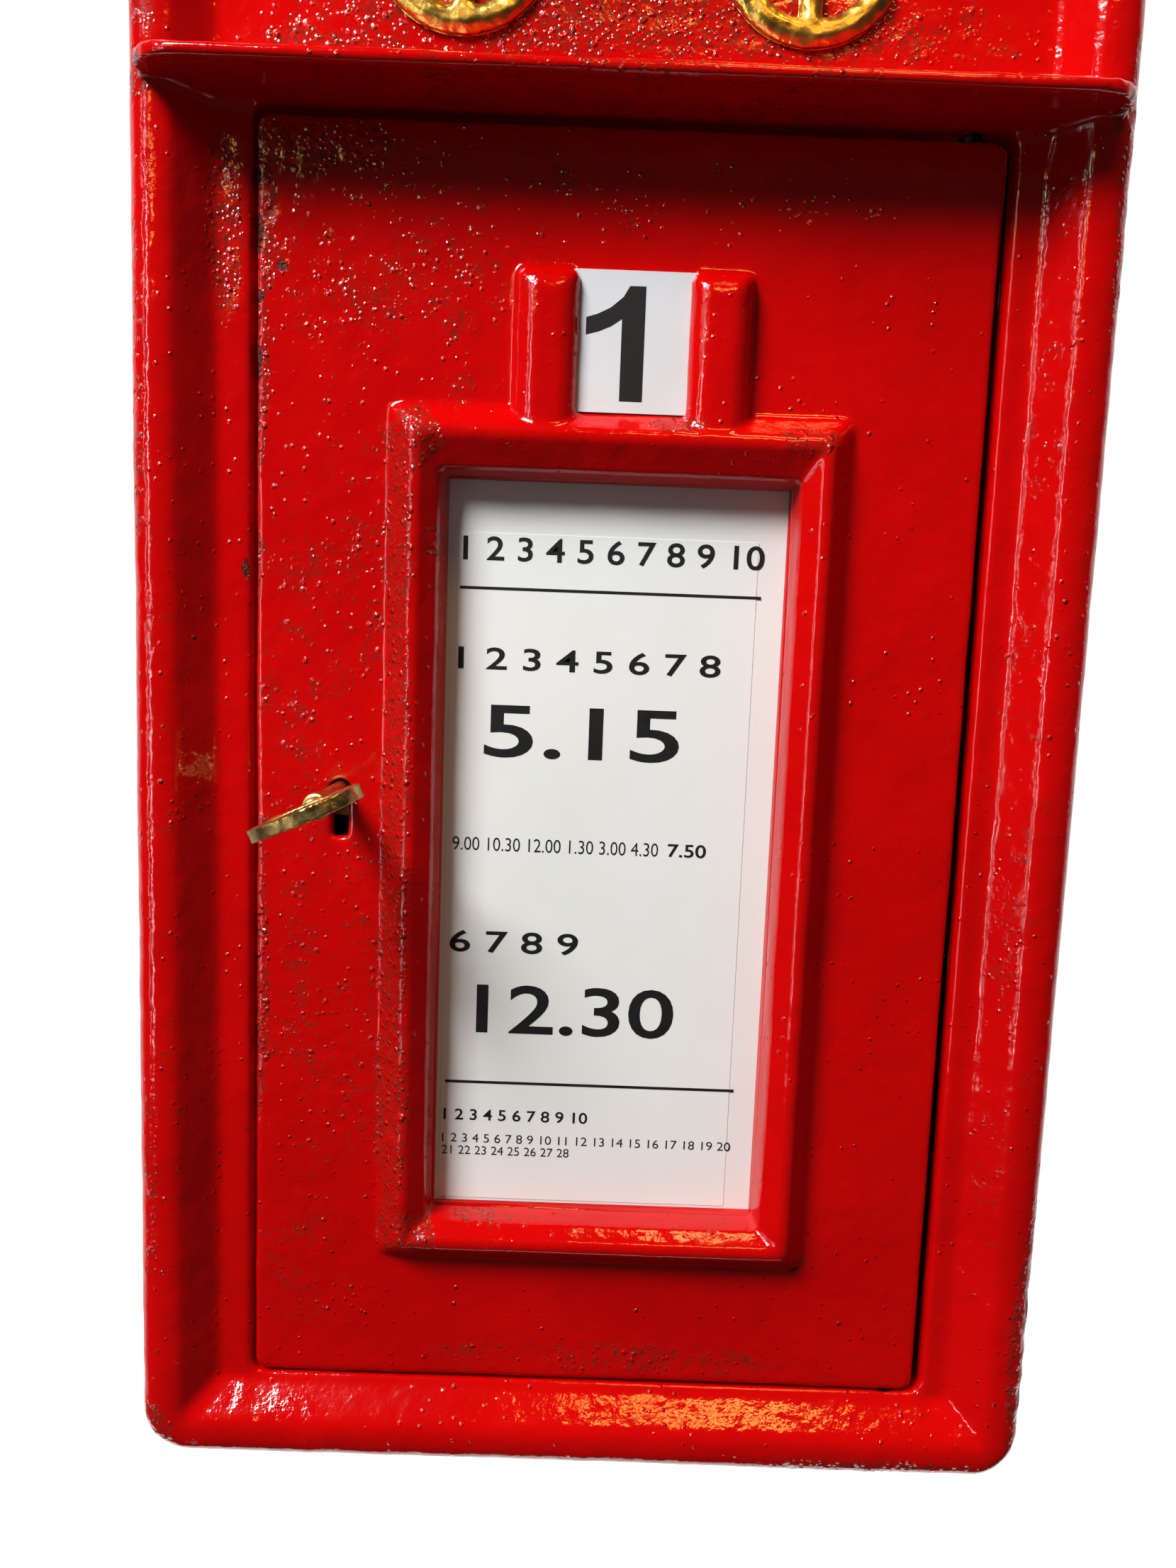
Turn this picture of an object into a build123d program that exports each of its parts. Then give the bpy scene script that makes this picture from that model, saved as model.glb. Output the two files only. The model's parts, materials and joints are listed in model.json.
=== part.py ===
from build123d import *
from math import cos, radians, sin, sqrt
import os

# Wall letter box: a cast-iron box for a wall or post, with a posting slot under an arched hood, a gilded
# ornament panel, a shelf moulding, and a hinged door that carries a notice window, a number tablet and a lock.
# Millimetres. While the pieces are made, X is to the right, Y goes into the box from the door's front face,
# and Z goes up from the box's bottom edge. The export moves them so that the origin is the centre of the
# four wall bolt holes on the rear face, with the wall on the +Y side.

# ---------------------------------------------------------------- driving dimensions
body_width = 255.0
arch_rise = 46.0              # height of the arched top above where its arc meets the sides
arch_above_slot = 33.0        # from the slot's top edge up to where the arc meets the sides
wall_to_face = 168.0          # from the wall to the door's front face
side_wall = 6.0
front_plate = 8.0             # thickness of the casting round the door
back_plate_thickness = 5.0
bottom_corner_radius = 14.0
shoulder_radius = 30.0
least_corner_radius = 2.0

# rim: a rounded bead round the whole front, with a slope down to the door plane
rim_proud = 9.0
rim_width = 11.5
rim_slope = 9.5
rim_outer_round = 7.0
rim_inner_round = 5.5

# door
frame_left = 31.6             # from the box's left side to the door's edge
frame_right = 30.8
door_height = 345.9
door_bottom = 23.4            # height of the door's lower edge
door_thickness = 6.0
door_corner_radius = 3.5
door_edge_round = 0.8
gap_left = 1.0
gap_right = 2.5               # wider, because the door turns about a pin set behind this edge
gap_top = 2.2
gap_bottom = 1.0

# door stop: a lip behind the door's left, top and bottom edges
stop_overlap = 5.0
stop_gap = 0.3
stop_thickness = 5.0
stop_landing = 10.0           # width of the thickened band outside the opening

# hinge: two vertical pins just behind the door's right edge
hinge_setback = 8.0           # from the door's right edge to the pin
pin_radius = 3.0
pin_running_clearance = 0.06
pin_seat_clearance = 0.03
hinge_boss_radius = 5.6
hinge_boss_length = 14.0
upper_pin_grip = 15.0         # how far the upper pin stands in its lug
upper_pin_lift = 15.0         # room in the lug to slide the pin up and free the door
upper_lug_width = 15.0
upper_lug_back = 18.0
set_screw_radius = 2.0
set_screw_slot = 0.8
lower_pin_depth = 11.0        # how far the lower pin stands in the sill
washer_radius = 5.4
washer_clearance = 0.05

# notice window: a moulding with a rounded crest and two slopes, round an opening in the door
stile_left = 50.6             # from the door's left edge to the window
stile_right = 50.0
window_height = 205.6
window_bottom = 74.9
moulding_side = 15.5
moulding_top = 18.5
moulding_bottom = 14.5
moulding_proud = 8.0
moulding_outer_slope = 6.4    # width of the slope from the door up to the crest
moulding_crest = 2.4
moulding_lip = 3.6            # height of the inner edge, at the foot of the inner slope
moulding_draft = 1.7          # how much the window widens from the sheet to that edge
moulding_round = 2.4
moulding_corner_radius = 2.5

# number tablet and its two guide bars
tablet_offset = 2.0           # from the window's centre line to the tablet's
tablet_width = 32.6
tablet_height = 35.8
tablet_thickness = 1.6
tablet_clearance = 0.25
guide_bar_width = 16.6
guide_bar_proud = 6.8
guide_bar_round = 6.2
guide_bar_top = 333.8
guide_overlap = 2.2           # how far each bar covers the tablet's edge
guide_root = 10.0             # how far the bars run down into the moulding
tablet_seat_drop = 1.2        # how far the tablet's seat is cut into the moulding's outer edge

# notice sheet, backing plate and straps behind the window
notice_margin = 4.0
notice_thickness = 0.8
backing_thickness = 1.5
layer_gap = 0.05
strap_width = 12.0
strap_thickness = 1.5
strap_inset = 38.0            # from the window's lower end to the lower strap
strap_lock_gap = 3.6          # from the lock case up to the upper strap
strap_boss_radius = 4.0
strap_boss_offset = 4.6       # from the backing plate's edge to the boss's centre
strap_end = 5.0
strap_screw_radius = 1.5
strap_screw_head_radius = 2.9
strap_screw_head = 1.6
strap_screw_bite = 5.0
screw_clearance = 0.05
screw_tip_gap = 0.5           # from a screw's tip to the end of its hole

# shelf moulding above the door
shelf_reach = 26.0
shelf_lip = 4.0
shelf_rise = 4.0
shelf_hollow = 1.6
shelf_corner_radius = 14.0
shelf_short = 5.0             # how far the shelf's ends stop short of the box's sides

# posting slot with its surround and small hood
slot_side = 45.0              # from the box's sides to the slot
slot_height = 32.0
slot_rise = 85.8              # from the shelf's underside to the slot's lower edge
surround_border = 10.0
surround_proud = 4.0
slot_hood_side = 10.0
slot_hood_reach = 20.0
slot_hood_lip = 4.0
name_panel_width = 140.0
name_panel_height = 18.0
name_panel_gap = 8.0
name_panel_proud = 2.0

# arched hood along the top
hood_overhang = 5.0
hood_band = 14.0
hood_reach = 28.0
hood_depth = 24.0
hood_drop = 34.0              # how far the hood comes down below the arc's ends
hood_round = 3.5

# gilded cast ornaments
ornament_proud = 3.0
ornament_offset = 44.0
ornament_gap = 9.8            # from the shelf to the ornaments' feet
scroll_radius = 20.0
scroll_stroke = 7.0
scroll_sweep = 120.0
stem_stroke = 6.0
stem_height = 42.0
leaf_length = 16.0
leaf_width = 8.0
leaf_pairs = 3
leaf_pitch = 11.0
leaf_tilt = 42.0
bead_radius = 4.2
bead_rise = 19.0              # from the ornaments' feet up to the bead

# back plate, its screws and the wall bolt holes
bolt_spacing_x = 150.0
bolt_spacing_z = 260.0
bolt_hole_radius = 5.5
mount_height = 242.3
back_screw_low = 36.0         # height of the lowest pair
back_screw_drop = 28.0        # from the arc's ends down to the highest pair
back_screw_radius = 3.0
back_screw_head_radius = 6.0
back_screw_head = 3.0
back_screw_length = 18.0
lug_size = 14.0
lug_depth = 22.0

# baffle behind the posting slot
baffle_side = 12.5            # how far the baffle runs past the slot's ends
baffle_thickness = 1.5
baffle_flange = 20.0
baffle_gap = 5.0              # from the slot's top edge to the baffle's bend
baffle_drop = 72.0
baffle_run = 60.0
baffle_screw_spacing = 160.0
baffle_screw_radius = 2.0
baffle_screw_head_radius = 3.8
baffle_screw_head = 2.2
baffle_screw_bite = 5.0

# lock
key_inset = 22.9              # from the door's left edge to the key's axis
key_z = 195.1
key_turned = 65.0             # how far the key is turned from straight down, clockwise from the front
shank_radius = 2.6
shank_clearance = 0.6
keyhole_slot_width = 4.7
bit_radius = 12.4
bit_clearance = 0.7
bit_thickness = 2.4
bit_steps = (1.6, 0.5, 2.2, 1.1)         # how far the bit is cut back under each lever
case_wall = 1.5
case_left = 15.2              # from the key's axis to each outer side of the case
case_right = 19.5
case_below = 20.0
case_above = 37.0
case_depth = 13.6
cap_thickness = 1.5
ear_length = 9.4
ear_width = 16.0
ear_thickness = 2.5
lock_screw_radius = 2.0
lock_screw_head_radius = 3.5
lock_screw_head = 2.0
lock_screw_bite = 4.5
cap_post_radius = 2.2
cap_post_inset = 3.2
cap_screw_radius = 1.0
cap_screw_head_radius = 2.0
cap_screw_head = 1.0
cap_screw_bite = 6.0
curtain_radius = 8.0
curtain_thickness = 0.8
lever_count = 4
lever_thickness = 1.0
lever_gap = 0.2
lever_left = 10.5             # from the key's axis to the levers' free end
lever_low = 11.9              # height of the levers' lower edge above the key's axis
lever_high = 27.4
lever_belly = 12.9
lever_window = (-8.3, 8.1, 15.7, 22.4)   # left, right, low and high edges, from the key's axis
post_x = 14.0                 # lever post, from the key's axis
post_z = 29.0
post_radius = 2.5
post_boss_radius = 3.6
spring_thickness = 0.5
spring_length = 14.0
spring_inset = 3.0
spring_rise = 4.0
bolt_rest_gap = 1.5           # from the stop lip's edge to the drawn-back bolt
bolt_length = 33.0
bolt_low = 9.5
bolt_high = 23.5
bolt_thickness = 3.5
bolt_gap = 0.4
talon_left = 0.0              # where the talon notch starts, from the key's axis
talon_high = 13.3
stump_x = 5.0
stump_z = 19.9
stump_radius = 1.8
strike_thickness = 1.5
strike_width = 14.0
strike_margin = 13.0
strike_screw_radius = 1.5
strike_screw_head_radius = 2.8
strike_screw_head = 0.6
strike_screw_bite = 4.0
strike_screw_inset = 6.0

# key
bow_width = 30.0
bow_length = 20.0
bow_thickness = 3.6
bow_band = 5.0
bow_reach = 50.0              # from the door's face to the bow's front end
collar_radius = 3.6
collar_length = 4.0

over = 1.0                    # how far a cut runs past the face it starts from

# ---------------------------------------------------------------- worked-out places
half_width = body_width / 2
slot_width = body_width - 2 * slot_side
shelf_bottom = door_bottom + door_height + gap_top
ornament_foot = shelf_bottom + shelf_lip + shelf_rise + ornament_gap
slot_bottom = shelf_bottom + slot_rise
arch_spring = slot_bottom + slot_height + arch_above_slot
back_screw_high = arch_spring - back_screw_drop
back_screw_heights = (back_screw_low, (back_screw_low + back_screw_high) / 2, back_screw_high)
arch_radius = (half_width**2 + arch_rise**2) / (2 * arch_rise)
arch_centre = arch_spring + arch_rise - arch_radius
shell_back = wall_to_face - back_plate_thickness

door_left = frame_left - half_width
door_right = half_width - frame_right
door_top = door_bottom + door_height
opening_left = door_left - gap_left
opening_right = door_right + gap_right
opening_top = door_top + gap_top
opening_bottom = door_bottom - gap_bottom
stop_front = door_thickness + stop_gap
stop_back = stop_front + stop_thickness
stop_edge = door_left + stop_overlap
hinge_x = door_right - hinge_setback
hinge_y = door_thickness
set_screw_height = opening_top + upper_pin_grip / 2

window_left = door_left + stile_left
window_right = door_right - stile_right
tablet_centre_x = (window_left + window_right) / 2 + tablet_offset
window_top = window_bottom + window_height
moulding_outer_top = window_top + moulding_top
tablet_bottom = moulding_outer_top - tablet_seat_drop
guide_gap = tablet_width - 2 * guide_overlap

notice_front = door_thickness + layer_gap
backing_front = notice_front + notice_thickness + layer_gap
backing_back = backing_front + backing_thickness
strap_front = backing_back + layer_gap
strap_back = strap_front + strap_thickness
backing_left = window_left - notice_margin
backing_right = window_right + notice_margin

surround_top = slot_bottom + slot_height + surround_border
name_panel_bottom = surround_top + name_panel_gap

key_x = door_left + key_inset
case_front = door_thickness + layer_gap
case_back = case_front + case_depth
case_x = (key_x - case_left, key_x + case_right)
case_z = (key_z - case_below, key_z + case_above)
curtain_front = case_front + case_wall + layer_gap
levers_front = curtain_front + curtain_thickness + lever_gap
lever_pitch = lever_thickness + lever_gap
bolt_front = levers_front + lever_count * lever_pitch + bolt_gap
bolt_back = bolt_front + bolt_thickness
bolt_left = stop_edge + bolt_rest_gap
cap_front = case_back + layer_gap
cap_back = cap_front + cap_thickness
strike_front = stop_back + layer_gap


# ---------------------------------------------------------------- helpers
def block(x0, x1, y0, y1, z0, z1):
    """A box between two corners."""
    return Pos((x0 + x1) / 2, (y0 + y1) / 2, (z0 + z1) / 2) * Box(x1 - x0, y1 - y0, z1 - z0)


def rod_y(x, z, radius, y0, y1):
    """A round bar along Y."""
    return Pos(x, (y0 + y1) / 2, z) * Rot(90, 0, 0) * Cylinder(radius, y1 - y0)


def rod_z(x, y, radius, z0, z1):
    """A round bar along Z."""
    return Pos(x, y, (z0 + z1) / 2) * Cylinder(radius, z1 - z0)


def slab(face, y0, y1):
    """A flat shape drawn in X and Z, made solid from y0 back to y1."""
    return extrude(Plane.XZ.offset(-y1) * face, amount=y1 - y0)


def panel(x0, x1, z0, z1, corner):
    """A rectangle with round corners, drawn in X and Z."""
    return Pos((x0 + x1) / 2, (z0 + z1) / 2) * RectangleRounded(x1 - x0, z1 - z0, corner)


def screw_y(x, z, radius, head_radius, head_height, seat, bite):
    """A pan-head screw driven forwards: its head lies behind seat, and its shank reaches bite in front of it."""
    head = rod_y(x, z, head_radius, seat, seat + head_height)
    head = fillet(head.edges().group_by(Axis.Y)[-1], head_height * 0.4)
    slot = block(x - head_radius, x + head_radius, seat + head_height * 0.55, seat + head_height + over,
                 z - head_height * 0.2, z + head_height * 0.2)
    return head - slot + rod_y(x, z, radius, seat - bite, seat)


def outline(inset):
    """The box's front outline, drawn in X and Z, moved in from its edge by inset."""
    half = half_width - inset
    radius = arch_radius - inset
    spring = arch_centre + sqrt(radius**2 - half**2)
    face = make_face(
        Curve() + [
            Line((-half, spring), (-half, inset)),
            Line((-half, inset), (half, inset)),
            Line((half, inset), (half, spring)),
            ThreePointArc((half, spring), (0, arch_centre + radius), (-half, spring)),
        ]
    )
    face = fillet(face.vertices().group_by(Axis.Y)[0], max(bottom_corner_radius - inset, least_corner_radius))
    return fillet(face.vertices().group_by(Axis.Y)[-1], max(shoulder_radius - inset, least_corner_radius))


def shelf(x0, x1, z0, reach, lip, corner):
    """A shelf moulding that stands out of the front, with a hollow underside and round front corners."""
    top = z0 + lip
    profile = make_face(
        Curve() + [
            ThreePointArc((0, z0), (-reach / 2, z0 + shelf_hollow), (-reach + lip / 2, z0)),
            ThreePointArc((-reach + lip / 2, z0), (-reach, z0 + lip / 2), (-reach + lip / 2, top)),
            Line((-reach + lip / 2, top), (0, top + shelf_rise)),
            Line((0, top + shelf_rise), (front_plate / 2, top + shelf_rise)),
            Line((front_plate / 2, top + shelf_rise), (front_plate / 2, z0)),
            Line((front_plate / 2, z0), (0, z0)),
        ]
    )
    bar = extrude(Plane.YZ.offset(x0) * profile, amount=x1 - x0)
    plan = block(x0, x1, -reach, front_plate / 2, z0 - over, top + shelf_rise + over)
    return bar & fillet(plan.edges().filter_by(Axis.Z).group_by(Axis.Y)[0], corner)


# ---------------------------------------------------------------- fixed box
def screw_places():
    """Where the back plate's screws stand, as x and z."""
    x = half_width - side_wall - lug_size / 2
    return [(side * x, z) for z in back_screw_heights for side in (-1, 1)]


def wall_hole_places():
    return [(sx * bolt_spacing_x / 2, mount_height + sz * bolt_spacing_z / 2) for sx in (-1, 1) for sz in (-1, 1)]


def baffle_screw_places():
    z = slot_bottom + slot_height + baffle_gap + baffle_flange / 2
    return [(side * baffle_screw_spacing / 2, z) for side in (-1, 1)]


def strike_screw_places():
    x = stop_edge - layer_gap - strike_width + strike_screw_inset
    low = key_z + bolt_low - strike_margin + strike_screw_inset
    high = key_z + bolt_high + strike_margin - strike_screw_inset
    return [(x, low), (x, high)]


def make_rim_and_shell():
    """The open-backed shell with its raised, rounded rim and the slope down to the door plane."""
    shell = slab(outline(0), -rim_proud, shell_back)
    shell = fillet(shell.edges().group_by(Axis.Y)[0], rim_outer_round)
    shell -= slab(outline(side_wall), front_plate, shell_back)
    low = Plane.XZ * outline(rim_width + rim_slope)
    high = Plane.XZ.offset(rim_proud) * outline(rim_width)
    shell -= loft([low, high], ruled=True)
    crest = shell.faces().sort_by(Axis.Y)[0].inner_wires()[0].edges()
    return fillet(crest, rim_inner_round)


def make_hood():
    """The arched hood that stands out over the top of the front."""
    band = slab(outline(-hood_overhang), -hood_reach, hood_depth)
    band -= slab(outline(hood_band - hood_overhang), -hood_reach, hood_depth)
    band &= block(-body_width, body_width, -hood_reach, hood_depth, arch_spring - hood_drop, arch_spring + body_width)
    return fillet(band.edges().group_by(Axis.Y)[0], hood_round)


def make_slot_front():
    """The posting slot's raised surround, its small hood and the blank panel above."""
    half = slot_width / 2 + surround_border
    surround = slab(
        panel(-half, half, slot_bottom - surround_border, surround_top, surround_border / 2), -surround_proud, over
    )
    surround = fillet(surround.edges().group_by(Axis.Y)[0], surround_proud * 0.6)
    hood_half = half + slot_hood_side
    hood = shelf(-hood_half, hood_half, surround_top - slot_hood_lip, slot_hood_reach, slot_hood_lip,
                 slot_hood_side)
    name = slab(
        panel(-name_panel_width / 2, name_panel_width / 2, name_panel_bottom,
              name_panel_bottom + name_panel_height, name_panel_height / 4), -name_panel_proud, over
    )
    return surround + hood + fillet(name.edges().group_by(Axis.Y)[0], name_panel_proud * 0.6)


def make_stops():
    """The lip that the closed door rests on, behind its left, top and bottom edges."""
    left = opening_left - stop_landing
    right = hinge_x - hinge_setback - hinge_boss_radius
    low = (opening_bottom - stop_landing, door_bottom + stop_overlap)
    high = (door_top - stop_overlap, opening_top + stop_landing)
    return (
        block(left, stop_edge, stop_front, stop_back, low[0], high[1])
        + block(left, right, stop_front, stop_back, *low)
        + block(left, right, stop_front, stop_back, *high)
    )


def make_body_casting():
    body = make_rim_and_shell()
    shelf_half = half_width - shelf_short
    body += shelf(-shelf_half, shelf_half, shelf_bottom, shelf_reach, shelf_lip, shelf_corner_radius)
    body += make_hood()
    body += make_slot_front()
    body -= block(-slot_width / 2, slot_width / 2, -rim_proud, front_plate + over,
                  slot_bottom, slot_bottom + slot_height)
    opening = panel(opening_left, opening_right, opening_bottom, opening_top, door_corner_radius)
    body -= slab(opening, -shelf_reach, front_plate + over)
    body += make_stops()
    # hinge lugs above and below the door, with holes for the pins
    lug_top = opening_top + upper_pin_grip + upper_pin_lift
    body += block(hinge_x - upper_lug_width / 2, hinge_x + upper_lug_width / 2, front_plate / 2, upper_lug_back,
                  opening_top, lug_top)
    body += rod_z(hinge_x, hinge_y, hinge_boss_radius, side_wall / 2, opening_bottom)
    seat = pin_radius + pin_seat_clearance
    body -= rod_z(hinge_x, hinge_y, seat, opening_top - over, lug_top + over)
    body -= rod_z(hinge_x, hinge_y, seat, opening_bottom - lower_pin_depth, opening_bottom + over)
    body -= rod_y(hinge_x, set_screw_height, set_screw_radius + screw_clearance, hinge_y, upper_lug_back + over)
    # lugs for the back plate's screws
    for x, z in screw_places():
        outer = half_width - side_wall / 2
        side = 1 if x > 0 else -1
        reach = sorted((side * outer, x - side * lug_size / 2))
        body += block(*reach, shell_back - lug_depth, shell_back, z - lug_size / 2, z + lug_size / 2)
        body -= rod_y(x, z, back_screw_radius + screw_clearance, shell_back - back_screw_length, shell_back + over)
    for x, z in baffle_screw_places():
        body -= rod_y(x, z, baffle_screw_radius + screw_clearance, front_plate - baffle_screw_bite, front_plate + over)
    for x, z in strike_screw_places():
        body -= rod_y(x, z, strike_screw_radius + screw_clearance, stop_back - strike_screw_bite, stop_back + over)
    return body


def make_back_plate():
    plate = slab(outline(0), shell_back, wall_to_face)
    for x, z in wall_hole_places():
        plate -= rod_y(x, z, bolt_hole_radius, shell_back - over, wall_to_face + over)
    for x, z in screw_places():
        plate -= rod_y(x, z, back_screw_radius + screw_clearance, shell_back - over, wall_to_face + over)
        plate -= rod_y(x, z, back_screw_head_radius + screw_clearance, wall_to_face - back_screw_head,
                       wall_to_face + over)
    return plate


def make_back_plate_screws():
    screws = []
    for x, z in screw_places():
        seat = wall_to_face - back_screw_head
        head = rod_y(x, z, back_screw_head_radius, seat, wall_to_face)
        slot = block(x - back_screw_head_radius, x + back_screw_head_radius, wall_to_face - back_screw_head / 2,
                     wall_to_face + over, z - 0.6, z + 0.6)
        screws.append(head - slot + rod_y(x, z, back_screw_radius, shell_back - back_screw_length + over, seat))
    return screws


def make_baffle():
    """A bent steel sheet behind the slot: a flange screwed to the front and a slope that sends letters down."""
    bend_z = slot_bottom + slot_height + baffle_gap
    front = front_plate + layer_gap
    slope = baffle_thickness * sqrt(baffle_drop**2 + baffle_run**2) / baffle_drop
    profile = Polyline(
        (front, bend_z + baffle_flange),
        (front, bend_z),
        (front + baffle_run, bend_z - baffle_drop),
        (front + baffle_run + slope, bend_z - baffle_drop),
        (front + slope, bend_z),
        (front + baffle_thickness, bend_z + baffle_thickness),
        (front + baffle_thickness, bend_z + baffle_flange),
        close=True,
    )
    width = slot_width + 2 * baffle_side
    sheet = extrude(Plane.YZ.offset(-width / 2) * make_face(profile), amount=width)
    for x, z in baffle_screw_places():
        sheet -= rod_y(x, z, baffle_screw_radius + screw_clearance, 0, front + baffle_thickness + over)
    return sheet


def make_baffle_screws():
    seat = front_plate + layer_gap + baffle_thickness + layer_gap
    return [
        screw_y(x, z, baffle_screw_radius, baffle_screw_head_radius, baffle_screw_head, seat,
                seat - front_plate + baffle_screw_bite - screw_tip_gap)
        for x, z in baffle_screw_places()
    ]


def make_ornaments():
    """Two mirrored sprigs on scroll feet and a bead between them, as gilded relief on the panel."""
    pieces = []
    for side in (-1, 1):
        centre = (side * ornament_offset, ornament_foot + scroll_stroke / 2 + scroll_radius)
        arc = CenterArc(centre, scroll_radius, -90 - scroll_sweep / 2, scroll_sweep)
        sprig = SlotArc(arc, scroll_stroke)
        foot = centre[1] - scroll_radius
        sprig += Pos(centre[0], foot + stem_height / 2) * Rectangle(stem_stroke, stem_height)
        for i in range(leaf_pairs):
            joint_z = foot + stem_height - (leaf_pairs - 1 - i) * leaf_pitch - leaf_pitch / 2
            for turn in (-1, 1):
                leaf = Rot(0, 0, turn * leaf_tilt) * Pos(0, leaf_length / 2) * Ellipse(leaf_width / 2, leaf_length / 2)
                sprig += Pos(centre[0], joint_z) * leaf
        pieces.append(slab(sprig, -ornament_proud, -layer_gap))
    pieces.append(slab(Pos(0, ornament_foot + bead_rise) * Circle(bead_radius), -ornament_proud, -layer_gap))
    return pieces


def make_upper_pin():
    pin = rod_z(hinge_x, hinge_y, pin_radius, door_top - hinge_boss_length, opening_top + upper_pin_grip)
    return chamfer(pin.edges().group_by(Axis.Z)[0], pin_radius * 0.2)


def make_set_screw():
    """A headless screw through the back of the upper lug that holds the upper pin."""
    screw = rod_y(hinge_x, set_screw_height, set_screw_radius, hinge_y + pin_radius + layer_gap, upper_lug_back)
    slot = block(hinge_x - set_screw_radius, hinge_x + set_screw_radius, upper_lug_back - set_screw_slot,
                 upper_lug_back + over, set_screw_height - set_screw_slot / 2, set_screw_height + set_screw_slot / 2)
    return screw - slot


def make_lower_pin():
    foot = opening_bottom - lower_pin_depth + layer_gap
    pin = rod_z(hinge_x, hinge_y, pin_radius, foot, door_bottom + hinge_boss_length)
    return chamfer(pin.edges().group_by(Axis.Z)[-1], pin_radius * 0.2)


def make_hinge_washer():
    low = opening_bottom + washer_clearance
    high = door_bottom - washer_clearance
    ring = rod_z(hinge_x, hinge_y, washer_radius, low, high)
    return ring - rod_z(hinge_x, hinge_y, pin_radius + pin_seat_clearance, low - over, high + over)


def make_strike_plate():
    x1 = stop_edge - layer_gap
    z0 = key_z + bolt_low - strike_margin
    z1 = key_z + bolt_high + strike_margin
    plate = slab(panel(x1 - strike_width, x1, z0, z1, least_corner_radius), strike_front,
                 strike_front + strike_thickness)
    for x, z in strike_screw_places():
        plate -= rod_y(x, z, strike_screw_radius + screw_clearance, 0, strike_front + strike_thickness + over)
    return plate


def make_strike_screws():
    seat = strike_front + strike_thickness + layer_gap
    return [
        screw_y(x, z, strike_screw_radius, strike_screw_head_radius, strike_screw_head, seat,
                seat - stop_back + strike_screw_bite - 0.5)
        for x, z in strike_screw_places()
    ]


# ---------------------------------------------------------------- door
def make_guide_bars():
    """Two half-round bars that rise from the moulding and hold the number tablet by its edges."""
    bars = []
    for side in (-1, 1):
        inner = tablet_centre_x + side * guide_gap / 2
        x = sorted((inner, inner + side * guide_bar_width))
        low = moulding_outer_top - guide_root
        bar = slab(panel(*x, low, guide_bar_top, least_corner_radius), -guide_bar_proud, over)
        bars.append(fillet(bar.edges().group_by(Axis.Y)[0], guide_bar_round))
    return bars


def window_face(grow, proud):
    """The window's outline, grown all round, in a plane that stands proud of the door's face."""
    x0, x1, z0, z1 = window_left - grow, window_right + grow, window_bottom - grow, window_top + grow
    return Plane.XZ.offset(proud) * (Pos((x0 + x1) / 2, (z0 + z1) / 2) * Rectangle(x1 - x0, z1 - z0))


def moulding_face(inset, proud):
    """The moulding's outer outline, moved in from its edge, in a plane that stands proud of the door's face."""
    return Plane.XZ.offset(proud) * panel(
        window_left - moulding_side + inset, window_right + moulding_side - inset,
        window_bottom - moulding_bottom + inset, moulding_outer_top - inset, moulding_corner_radius,
    )


def window_opening():
    """The tapered hole through the door and the moulding's inner edge."""
    return loft([window_face(0, -door_thickness - over), window_face(0, -door_thickness)], ruled=True) + loft(
        [window_face(0, -door_thickness), window_face(moulding_draft, moulding_lip)], ruled=True
    )


def make_moulding():
    """The frame round the notice window: a slope up from the door, a round crest and a slope down to the window."""
    ring = loft([moulding_face(0, 0), moulding_face(moulding_outer_slope, moulding_proud)], ruled=True)
    crest = moulding_outer_slope + moulding_crest
    x0, x1 = window_left - moulding_side + crest, window_right + moulding_side - crest
    z0, z1 = window_bottom - moulding_bottom + crest, moulding_outer_top - crest
    upper = Plane.XZ.offset(moulding_proud) * (Pos((x0 + x1) / 2, (z0 + z1) / 2) * Rectangle(x1 - x0, z1 - z0))
    ring -= loft([window_face(moulding_draft, moulding_lip), upper], ruled=True)
    ring = fillet(ring.faces().sort_by(Axis.Y)[0].edges(), moulding_round)
    root = slab(panel(window_left - moulding_side, window_right + moulding_side, window_bottom - moulding_bottom,
                      moulding_outer_top, moulding_corner_radius), 0, over)
    return ring + root - window_opening()


def strap_heights():
    return (window_bottom + strap_inset, case_z[1] + strap_lock_gap + strap_width / 2)


def strap_boss_places():
    left = backing_left - strap_boss_offset
    right = backing_right + strap_boss_offset
    return [(x, z) for z in strap_heights() for x in (left, right)]


def lock_screw_places():
    x = (case_x[0] + case_x[1]) / 2
    return [(x, case_z[0] - ear_length / 2), (x, case_z[1] + ear_length / 2)]


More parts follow.
